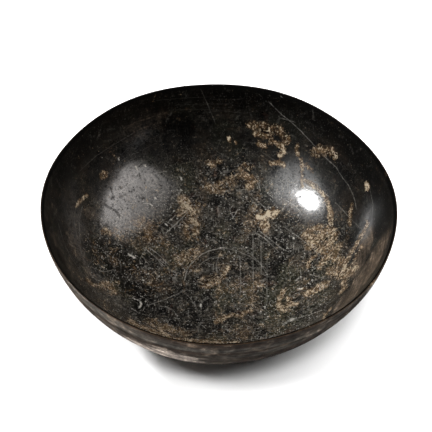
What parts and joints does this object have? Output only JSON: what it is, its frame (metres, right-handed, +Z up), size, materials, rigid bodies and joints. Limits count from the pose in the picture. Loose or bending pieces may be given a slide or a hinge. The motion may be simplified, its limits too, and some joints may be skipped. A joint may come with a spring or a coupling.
{
  "type": "bronze bowl",
  "caption": "Ancient hammered bronze bowl: round, thin-walled and open, with a plain flat lip, curved walls and a slightly flattened underside, in a dark worn patina.",
  "frame": {"origin": "middle of the flat underside, on the surface that the bowl stands on", "axes": "+Z up out of the mouth, +X to the right and +Y away as the bowl is seen in the picture"},
  "size_m": [0.1808, 0.1798, 0.061],
  "materials": {
    "bronze": "worn tin bronze, grey-black to brown patina with tan earth deposits, fine scratches and a soft polish"
  },
  "bodies": {
    "root": {"bowl": "bronze"}
  },
  "joints": []
}
